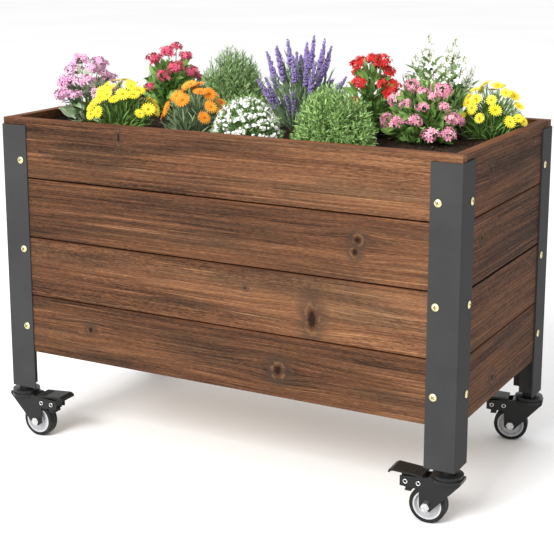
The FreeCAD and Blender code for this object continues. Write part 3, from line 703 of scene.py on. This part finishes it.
def green_shrubs():
    """A round rosemary bush at the back and a soft needle shrub in front."""
    rosemary, needle_shrub = clumps("plant_green_shrubs")
    plant = Growth(41)
    bush = rosemary.spread(1.08, 1.0, 1.05)
    shoots(plant, bush, 300, 26, (17 * MM, 2.6 * MM), (0, 2), rise=0.7, share=0.65)
    shoots(plant, needle_shrub.spread(1.05), 400, 24, (14 * MM, 3.0 * MM), (1, 2), rise=0.6, low=0.03)
    materials = [
        growth("rosemary_needle", (0.070, 0.155, 0.045), (0.215, 0.370, 0.120), (0.36, 0.50, 0.21)),
        growth("soft_needle", (0.075, 0.180, 0.045), (0.240, 0.430, 0.115), (0.42, 0.60, 0.21)),
        growth("shrub_stem", (0.05, 0.03, 0.015), (0.10, 0.15, 0.04), (0.12, 0.18, 0.06)),
    ]
    finish_piece(plant.mesh("green_shrubs", materials), ROOT, "shrub_green", "plant_green_shrubs")


def white_blooms():
    """A mound of alyssum in front and leafy stems with white flowers at the back."""
    mound, spikes = clumps("plant_white_blooms")
    plant = Growth(53)
    dice = plant.dice
    places, ways = mound.spots(270, dice, low=0.12, inner=0.96, apart=3.2 * MM)
    plant.stems(mound.roots(places, 0.4), places, 0.5 * MM, 3, sides=3, rings=3)
    tiny = floret(4, width=0.85, cup=0.15, rows=2)
    for place, way in zip(places, ways):
        count = dice.integers(2, 8)
        out = unit(way + dice.normal(0, 0.7, (count, 3)))
        spots = place + out * dice.uniform(2, 7, (count, 1)) * MM
        plant.add(tiny, spots, facing(out, dice), 3.0 * MM * dice.uniform(0.8, 1.25, count), 0)
    leaves(plant, mound, 1700, 13 * MM, blade(0.24, rows=2), 2, depths=(0.6, 1.0))

    tips, _ = spikes.spread(1.3, 1.3).spots(11, dice, low=0.55, inner=0.98, apart=30 * MM)
    roots = spikes.roots(tips, 0.45)
    plant.stems(roots, tips, 1.2 * MM, 3)
    bell = floret(5, width=0.6, cup=0.5)
    lance = blade(0.19, fold=0.25, droop=0.45)
    for root, tip in zip(roots, tips):
        flowers = 17
        share = np.linspace(0.60, 1.0, flowers)
        spin = np.arange(flowers) * GOLDEN_ANGLE
        out = np.stack([np.cos(spin), np.sin(spin), np.full(flowers, 0.4)], axis=1)
        spots = root + (tip - root) * share[:, None] + out * (13 * MM * (1.15 - share[:, None]) + 2.5 * MM)
        plant.add(bell, spots, facing(out, dice), 11 * MM * (1.45 - share), 1)
        fronds = 44
        level = dice.uniform(0.08, 0.78, fronds)
        spin = dice.uniform(0, 2 * math.pi, fronds)
        out = np.stack([np.cos(spin), np.sin(spin), np.full(fronds, 0.75)], axis=1)
        spots = root + (tip - root) * level[:, None]
        plant.add(lance, spots, facing(out, dice), 42 * MM * (1.15 - 0.6 * level), 2)
    materials = [
        growth("alyssum_petal", (0.60, 0.64, 0.45), (0.86, 0.86, 0.85), (0.86, 0.84, 0.88), mottle=0.1),
        growth("spike_petal", (0.62, 0.68, 0.46), (0.88, 0.88, 0.84), (0.88, 0.80, 0.82), mottle=0.1),
        growth("mound_leaf", (0.050, 0.120, 0.028), (0.175, 0.320, 0.090), (0.28, 0.42, 0.16)),
        growth("white_stem", *BRIGHT_GREEN),
    ]
    finish_piece(plant.mesh("white_blooms", materials), ROOT, "white_bloom", "plant_white_blooms")


def lavender():
    """Lavender: whorls of buds on long stems that fan out, over narrow grey-green leaves."""
    (clump,) = clumps("plant_lavender")
    plant = Growth(67)
    dice = plant.dice
    clump = clump.spread(1.22, 1.1)
    tips, _ = clump.spots(42, dice, low=0.42, apart=20 * MM)
    tips = clump.base + (tips - clump.base) * dice.uniform(0.66, 0.985, (len(tips), 1))
    roots = clump.roots(tips, 0.25)
    plant.stems(roots, tips, 0.8 * MM, 2, bow=0.04)
    bud = bead(sides=5, rings=3, height=1.0, radius=0.42, fattest=0.4)
    whorls, ring = 12, 7
    for root, tip in zip(roots, tips):
        ahead = unit((tip - root)[None])
        turn = facing(ahead, dice)[0]
        length = dice.uniform(45, 72) * MM
        level = np.repeat(np.linspace(0, 1, whorls) ** 0.9, ring)
        spin = np.tile(np.arange(ring) * 2 * math.pi / ring, whorls) + level * 9
        level = level + dice.normal(0, 0.018, len(level))
        flat = np.stack([np.cos(spin), np.sin(spin), dice.uniform(0.9, 2.2, len(spin))], axis=1)
        out = unit(flat) @ turn.T
        swell = dice.uniform(0.75, 1.2, len(level)) * (1 - 0.55 * level**2)
        spots = tip - ahead * (length * (1 - level))[:, None] + out * (2.6 * MM * swell)[:, None]
        plant.add(bud, spots, facing(out, dice), 7.5 * MM * swell, 0)
    slim = blade(0.075, rows=3, fold=0.3, droop=0.15)
    leaves(plant, clump, 1000, 45 * MM, slim, 1, depths=(0.15, 0.58), lift=1.3)
    materials = [
        growth("lavender_bud", (0.075, 0.050, 0.170), (0.235, 0.155, 0.42), (0.40, 0.31, 0.60), mottle=0.5),
        growth("lavender_leaf", (0.080, 0.150, 0.065), (0.205, 0.320, 0.155), (0.32, 0.43, 0.26)),
        growth("lavender_stem", (0.14, 0.21, 0.09), (0.24, 0.32, 0.16), (0.32, 0.38, 0.22)),
    ]
    finish_piece(plant.mesh("lavender", materials), ROOT, "lavender_bloom", "plant_lavender")


# ---- soil and liner


def ripple(x, y, seed, wavelength, octaves):
    """Smooth height noise between about -1 and 1: sums of turned sine waves."""
    dice = np.random.default_rng(seed)
    height = np.zeros_like(x)
    for octave in range(octaves):
        for _ in range(7):
            angle, phase = dice.uniform(0, 2 * math.pi, 2)
            rate = 2 * math.pi / wavelength * 2**octave * dice.uniform(0.7, 1.4)
            wave = np.sin((x * math.cos(angle) + y * math.sin(angle)) * rate + phase)
            height += wave / 2.2**octave / 4.5
    return height


def soil():
    """The soil's block with a crumbly top, notched round the corner posts, and loose crumbs on it."""
    low, high = (np.array(corner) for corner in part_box("soil"))
    notch = np.array(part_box("post_front_left")[1]) - low
    step = 4.5 * MM
    columns, rows = ((high - low)[:2] / step).astype(int)
    xs = np.linspace(low[0], high[0], columns + 1)
    ys = np.linspace(low[1], high[1], rows + 1)
    x, y = np.meshgrid(xs, ys, indexing="ij")
    mound = 0.7 * ripple(x, y, 5, 0.16, 3) + 0.5 * ripple(x, y, 6, 0.022, 2)
    rough = np.random.default_rng(8).uniform(-1, 1, x.shape)
    top = high[2] + (4.0 * mound + 1.1 * rough - 1.5) * MM
    middle_x, middle_y = (xs[:-1] + xs[1:]) / 2, (ys[:-1] + ys[1:]) / 2
    near_end = (middle_x < low[0] + notch[0]) | (middle_x > high[0] - notch[0])
    near_side = (middle_y < low[1] + notch[1]) | (middle_y > high[1] - notch[1])
    kept = ~(near_end[:, None] & near_side[None, :])
    size = (columns + 1) * (rows + 1)
    upper = np.stack([x, y, top], axis=2).reshape(-1, 3)
    lower = np.stack([x, y, np.full_like(x, low[2])], axis=2).reshape(-1, 3)

    def corner(i, j):
        return i * (rows + 1) + j

    faces = []
    for i, j in zip(*np.nonzero(kept)):
        a, b, c, d = corner(i, j), corner(i + 1, j), corner(i + 1, j + 1), corner(i, j + 1)
        faces.append((a, b, c, d))
        faces.append((d + size, c + size, b + size, a + size))
        sides = (((i, j - 1), a, b), ((i + 1, j), b, c), ((i, j + 1), c, d), ((i - 1, j), d, a))
        for beside, p, q in sides:
            inside = 0 <= beside[0] < columns and 0 <= beside[1] < rows
            if not inside or not kept[beside]:
                faces.append((p + size, q + size, q, p))
    bed = Growth(71)
    used, faces = np.unique(np.array(faces), return_inverse=True)
    points = np.concatenate([upper, lower])[used]
    bed.take(points[None], faces.reshape(-1, 4), np.zeros((1, len(points))), np.zeros(1), 0)
    dice = bed.dice
    count = 2300
    edge = 4 * MM
    along_x = dice.uniform(low[0] + notch[0], high[0] - notch[0], count)
    along_y = dice.uniform(low[1] + edge, high[1] - edge, count)
    i = np.clip(((along_x - low[0]) / step).astype(int), 0, columns)
    j = np.clip(((along_y - low[1]) / step).astype(int), 0, rows)
    places = np.column_stack([along_x, along_y, top[i, j] - 1.2 * MM])
    crumb = bead(sides=6, rings=4, height=1.0, radius=0.55, fattest=0.5)
    ways = dice.normal(0, 1, (count, 3))
    bed.add(crumb, places, facing(ways, dice), dice.gamma(2.2, 1.5, count).clip(1.2, 8.5) * MM, 0)
    finish_piece(bed.mesh("soil_bed", [earth("potting_soil")]), ROOT, "soil", "soil")


def liner():
    """The liner: a sewn cloth bag against the walls, its hem a little wavy above the soil."""
    low, high = (np.array(corner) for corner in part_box("liner"))
    clearance, half_cloth = 1.5 * MM, 0.6 * MM
    notch = np.array(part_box("post_front_left")[1]) - low + clearance
    left, front, bottom = low + half_cloth
    right, rear, hem = high - half_cloth
    xs = (left, left + notch[0], right - notch[0], right)
    ys = (front, front + notch[1], rear - notch[1], rear)
    order = ((1, 0), (2, 0), (2, 1), (3, 1), (3, 2), (2, 2), (2, 3), (1, 3), (1, 2), (0, 2), (0, 1), (1, 1))
    corners = [(xs[i], ys[j]) for i, j in order]
    spacing = 8
    outline = []
    for (x0, y0), (x1, y1) in zip(corners, corners[1:] + corners[:1]):
        parts = max(2, int(math.hypot(x1 - x0, y1 - y0) / (spacing * MM)))
        outline += [(x0 + (x1 - x0) * k / parts, y0 + (y1 - y0) * k / parts) for k in range(parts)]
    outline = np.array(outline)
    centre = (low + high)[:2] / 2
    levels = np.concatenate([np.linspace(bottom, hem - 40 * MM, 6), np.linspace(hem - 36 * MM, hem, 7)])
    around = np.arange(len(outline)) * spacing * MM
    loose, sway, sag = 45 * MM, 1.6 * MM, 2.5 * MM
    rings = []
    for level in levels:
        share = max(0.0, (level - hem + loose) / loose)
        wave = ripple(around, np.full_like(around, level * 0.5), 9, 0.09, 2)
        inward = unit(centre - outline) * (sway * share * (1 + wave))[:, None]
        rings.append(np.column_stack([outline + inward, level + sag * wave * share - sag * share]))
    faces = [tuple(face) for face in grid_faces(len(rings), len(outline), closed=True)]
    faces.append(tuple(range(len(outline)))[::-1])
    mesh = bpy.data.meshes.new("liner_bag")
    mesh.from_pydata(np.concatenate(rings).tolist(), [], faces)
    for polygon in mesh.polygons:
        polygon.use_smooth = len(polygon.vertices) == 4
    mesh.materials.append(felt("liner_felt"))
    piece = link("liner_bag", mesh)
    finish_piece(piece, ROOT, "liner_fabric", "liner")


# ---- screws and caster details

YELLOW_ZINC = ((0.56, 0.47, 0.23), (0.86, 0.79, 0.50), 0.34)


def screw_head(radius, rise, rings, sides):
    """A dome with a cross recess, its shank below: points, the dome's faces, whether each of those is
    in the recess, and the other faces."""
    dome = []
    for ring in range(rings + 1):
        crown = rise * math.sqrt(1 - 0.86 * (ring / rings) ** 2)
        dome.append((radius * ring / rings, crown))
    points, faces, _ = turned(dome, sides)
    arm_half, arm_reach, middle_reach, recess_depth = 0.75 * MM, 3.9 * MM, 1.5 * MM, 1.5 * MM
    reach = np.repeat([reach for reach, _ in dome], sides)
    arm = (np.abs(points[:, :2]).min(axis=1) < arm_half) & (reach < arm_reach)
    sunk = arm | (reach < middle_reach)
    points[sunk, 2] -= recess_depth
    shank, length = 2.4 * MM, 32 * MM
    below, _, _ = turned([(radius, 0.0), (shank, 0.0), (shank, -length)], sides)
    below_faces = grid_faces(4, sides, closed=True) + (len(points) - sides)
    return np.concatenate([points, below]), faces, sunk[faces].any(axis=1), below_faces[:, ::-1]


def screws():
    """Dome-headed screws with a cross recess, one at each CAD screw."""
    steel = bare_metal("yellow_zinc", *YELLOW_ZINC)
    recess = bare_metal("recess_shadow", (0.10, 0.08, 0.04), (0.26, 0.22, 0.12), 0.5)
    heads = Growth(83)
    points, dome, in_recess, below = screw_head(7.2 * MM, 3.4 * MM, rings=22, sides=64)
    along = np.zeros(len(points))
    centres, ways = [], []
    from_leg_edge = 45 * MM
    depths = (86 * MM, 272 * MM, 438 * MM)
    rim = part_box("board_front_1")[1][2]
    leg_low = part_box("leg_front_left")[0]
    half_x, half_y = -leg_low[0], -leg_low[1]
    for sign_x in (-1, 1):
        for sign_y in (-1, 1):
            for depth in depths:
                centres.append((sign_x * (half_x - from_leg_edge), sign_y * half_y, rim - depth))
                ways.append((0, sign_y, 0))
                centres.append((sign_x * half_x, sign_y * (half_y - from_leg_edge), rim - depth))
                ways.append((sign_x, 0, 0))
    turns = facing(ways, heads.dice)
    for faces, slot in ((dome[~in_recess], 0), (dome[in_recess], 1), (below, 0)):
        heads.add((points, faces, along), centres, turns, 1.0, slot)
    finish_piece(heads.mesh("leg_screw_heads", [steel, recess]), ROOT, "zinc_screw", "leg_screws")


def eyelet(outer, inner, height):
    """A raised, rounded ring about +Z."""
    steps = 8
    profile = []
    for step in range(steps + 1):
        angle = math.pi * step / steps
        reach = (outer + inner) / 2 - (outer - inner) / 2 * math.cos(angle)
        profile.append((reach, height * math.sin(angle)))
    return turned(profile, 32)


def box_shape(low, high, ease):
    """A bar with eased upper edges, its top along +Z."""
    levels = [(0.0, low[2]), (0.0, high[2] - ease), (ease, high[2])]
    points = []
    for inset, level in levels:
        x0, y0, x1, y1 = low[0] + inset, low[1] + inset, high[0] - inset, high[1] - inset
        points += [(x0, y0, level), (x1, y0, level), (x1, y1, level), (x0, y1, level)]
    faces = np.concatenate([grid_faces(3, 4, closed=True), [[8, 9, 10, 11]]])
    return np.array(points), faces, np.zeros(len(points))


def caster_details():
    """Eyelet rings on the fork's plates, each with a near-black disc in it as painted shade of its hollow,
    and grip ribs on the pedal, on each caster.
    """
    silver = bare_metal("eyelet_steel", (0.50, 0.50, 0.50), (0.85, 0.85, 0.85), 0.28)
    # Painted shade: this near-black colour stands for the shade inside each eyelet's hollow.
    black = powder_coat("eyelet_bore_painted_shade", (0.004, 0.004, 0.004))
    pedal_paint = powder_coat("pedal_rib_paint", (0.010, 0.010, 0.009), 0.4, specular=0.3)
    half_fork, sunk = 18.5 * MM, 0.3 * MM
    bore, bore_level = 2.9 * MM, 0.15 * MM
    plate_start, plate_top, plate_slope = 34 * MM, 17.0 * MM, 4.5 / 59
    ring = eyelet(4.6 * MM, 2.7 * MM, 1.0 * MM)
    # A flat disc just over the plate inside each ring, which carries that painted shade.
    disc = turned([(bore, bore_level), (bore * 0.5, bore_level), (0.0, bore_level)], 32)
    bar = box_shape((-1.1 * MM, -17 * MM, -1.0 * MM), (1.1 * MM, 17 * MM, 1.3 * MM), 0.5 * MM)
    joints = {joint["name"]: joint for joint in frame["joints"]}
    for corner in CORNERS:
        swivel = np.array(joints[f"swivel_{corner}"]["pos_m"])
        pin = np.array(joints[f"brake_{corner}"]["pos_m"])
        across = np.array(joints[f"brake_{corner}"]["axis"], float)
        ahead = np.append(unit(pin[:2] - swivel[:2]), 0.0)
        fork = Growth(91)
        for back in (0.0, 25 * MM):
            for sign in (-1, 1):
                place = pin - ahead * back + across * sign * (half_fork - sunk)
                turns = facing([across * sign], fork.dice)
                fork.add(ring, [place], turns, 1.0, 0)
                fork.add(disc, [place], turns, 1.0, 1)
        finish_piece(fork.mesh(f"eyelets_{corner}", [silver, black]), f"swivel_{corner}", "axle_steel")
        pedal = Growth(97)
        turns = np.stack([ahead, across, [0, 0, 1]], axis=1)[None]
        for index in range(4):
            reach = (-31 + 5.2 * index) * MM
            place = pin + ahead * reach + np.array([0, 0, plate_top + plate_slope * (reach + plate_start)])
            pedal.add(bar, [place], turns, 1.0, 0)
        ribs = pedal.mesh(f"pedal_ribs_{corner}", [pedal_paint], smooth=False)
        finish_piece(ribs, f"pedal_{corner}", "pedal_black")


# ---- carried-over CAD nodes


def paint(node, material, bevel=0.0):
    """Gives a CAD node its material, and eases its sharp edges."""
    piece = frame["nodes"][node]
    piece.data.materials.clear()
    piece.data.materials.append(material)
    if bevel:
        ease = piece.modifiers.new("eased_edges", "BEVEL")
        ease.width = bevel
        ease.segments = 2
        ease.limit_method = "ANGLE"
        ease.angle_limit = math.radians(40)


# The boards of each side from the rim down: how light, how much lighter at the positive end, rough
# sawing, and knots as (place along the grain, height above the board's middle, radius, how tall for
# its width). How light is the board's own stain, and on the right side it also holds painted shade:
# all four right boards are set darker, for the side turned away from the key light.
BOARDS = {
    "front": (
        (0.00, 0.12, 0.12, ((-0.213, 0.038, 0.004, 3.0),)),
        (-0.03, 0.20, 0.03, ((0.303, 0.016, 0.009, 1.0), (0.297, -0.008, 0.008, 1.0))),
        (0.01, 0.22, 0.12, ((0.212, -0.020, 0.013, 2.0), (0.070, 0.020, 0.004, 0.7))),
        (-0.08, 0.10, 0.04, ((-0.293, 0.008, 0.007, 1.0), (0.140, -0.008, 0.013, 1.1))),
    ),
    "rear": (
        (0.0, 0.1, 0.10, ((0.12, 0.01, 0.010, 1.0),)),
        (0.04, -0.1, 0.06, ((-0.30, -0.02, 0.012, 1.2),)),
        (-0.03, 0.1, 0.14, ()),
        (0.0, 0.0, 0.08, ((0.05, 0.02, 0.011, 1.0),)),
    ),
    "left": (
        (0.0, 0.1, 0.08, ()),
        (-0.02, 0.0, 0.10, ((0.05, 0.01, 0.009, 1.0),)),
        (0.03, 0.1, 0.06, ()),
        (-0.03, 0.0, 0.10, ((-0.08, 0.01, 0.008, 1.0),)),
    ),
    # Painted shade: each right-side board is set about 0.1 darker for the side that faces away from the key
    # light.
    "right": (
        (-0.11, 0.0, 0.10, ((-0.10, 0.01, 0.007, 1.6),)),
        (-0.09, 0.0, 0.10, ((-0.14, 0.02, 0.007, 1.0),)),
        (-0.11, 0.0, 0.12, ()),
        (-0.09, 0.0, 0.08, ((-0.06, -0.02, 0.009, 1.0),)),
    ),
}


def paint_frame():
    """Materials of everything whose CAD shape is right as it is."""
    seed = 0
    for side, boards in BOARDS.items():
        for row, (tone_and_side_shade, slope, sawn, knots) in enumerate(boards, start=1):
            seed += 1
            node = f"board_{side}_{row}"
            low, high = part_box(node)
            middle = (low[2] + high[2]) / 2
            placed = [(run, middle + rise, radius, tall) for run, rise, radius, tall in knots]
            stain = wood(f"stain_{node}", SIDES[side], seed, tone_and_side_shade, slope, placed, sawn=sawn, rim=row == 1)
            paint(node, stain)
    for index, corner in enumerate(CORNERS):
        plain = wood(f"plain_post_{corner}", "X", 40 + index, stops=PLAIN_WOOD_STOPS)
        paint(f"post_{corner}", plain, 1.0 * MM)
    paint("floor_rails", wood("plain_rails", "X", 50, stops=PLAIN_WOOD_STOPS), 1.0 * MM)
    paint("floor_slats", wood("plain_slats", "Y", 51, stops=PLAIN_WOOD_STOPS), 1.0 * MM)
    paint("panel_screws", bare_metal("panel_zinc", *YELLOW_ZINC))
    leg_paint = powder_coat("leg_powder_coat", (0.038, 0.038, 0.038), 0.55, specular=0.03)
    caster_paint = powder_coat("caster_paint", (0.011, 0.011, 0.011), 0.32, 700.0, specular=0.24)
    pedal_paint = powder_coat("pedal_paint", (0.008, 0.008, 0.007), 0.42, 500.0, specular=0.24)
    axle_steel = bare_metal("axle_zinc", (0.48, 0.48, 0.48), (0.78, 0.78, 0.77), 0.30)
    hub = moulded("hub_plastic", (0.50, 0.50, 0.51))
    tread = rubber("tyre_rubber")
    for corner in CORNERS:
        paint(f"leg_{corner}", leg_paint, 0.5 * MM)
        paint(f"caster_stem_{corner}", caster_paint, 0.5 * MM)
        paint(f"caster_fork_{corner}", caster_paint, 0.5 * MM)
        paint(f"caster_axle_{corner}", axle_steel, 0.5 * MM)
        paint(f"caster_hub_{corner}", hub, 0.5 * MM)
        paint(f"caster_tyre_{corner}", tread)
        paint(f"caster_pedal_{corner}", pedal_paint, 0.8 * MM)


# ---- floor, light and camera


def studio():
    """A pale floor under a white sky, and one large soft key from the front."""
    shader = Shader("studio_floor", roughness=0.9, specular=0.1)
    axes = shader.place()
    cloud = shader.noise(shader.join(axes["X"], axes["Y"], 0.0), scale=0.7, detail=2.0)
    shader.colour(shader.ramp(cloud, [(0.3, (0.90, 0.90, 0.90)), (0.7, (0.93, 0.93, 0.93))]))
    mesh = bpy.data.meshes.new("studio_floor")
    half = 30.0
    corners = [(-half, -half, 0), (half, -half, 0), (half, half, 0), (-half, half, 0)]
    mesh.from_pydata(corners, [], [(0, 1, 2, 3)])
    mesh.materials.append(shader.material)
    link("studio_floor", mesh)

    world = bpy.data.worlds.new("studio_sky")
    world.use_nodes = True
    sky = world.node_tree.nodes["Background"]
    sky.inputs["Color"].default_value = (1, 1, 1, 1)
    sky.inputs["Strength"].default_value = 1.05
    bpy.context.scene.world = world

    place, target = Vector((-0.5, -4.9, 3.5)), Vector((0, 0, 0.45))
    light = bpy.data.lights.new("key", "AREA")
    light.size = 2.6
    light.energy = 410
    lamp = link("key", light)
    lamp.location = place
    lamp.rotation_euler = (target - place).to_track_quat("-Z", "Y").to_euler()


def camera():
    """The product view: from the front right, above the rim."""
    pitch, turn = 12.04, 28.50
    lens = bpy.data.cameras.new("product_view")
    lens.lens = 86.1
    lens.sensor_width = 36.0
    lens.shift_y = -0.12
    eye = link("product_view", lens)
    eye.location = (1.276, -2.344, 1.060)
    eye.rotation_euler = Euler((math.radians(90 - pitch), 0, math.radians(turn)))
    bpy.context.scene.camera = eye
    bpy.context.scene.view_settings.view_transform = "Standard"


paint_frame()
screws()
caster_details()
liner()
soil()
pink_clusters()
daisy_beds()
red_clusters()
green_shrubs()
white_blooms()
lavender()
studio()
camera()

bpy.context.view_layer.update()
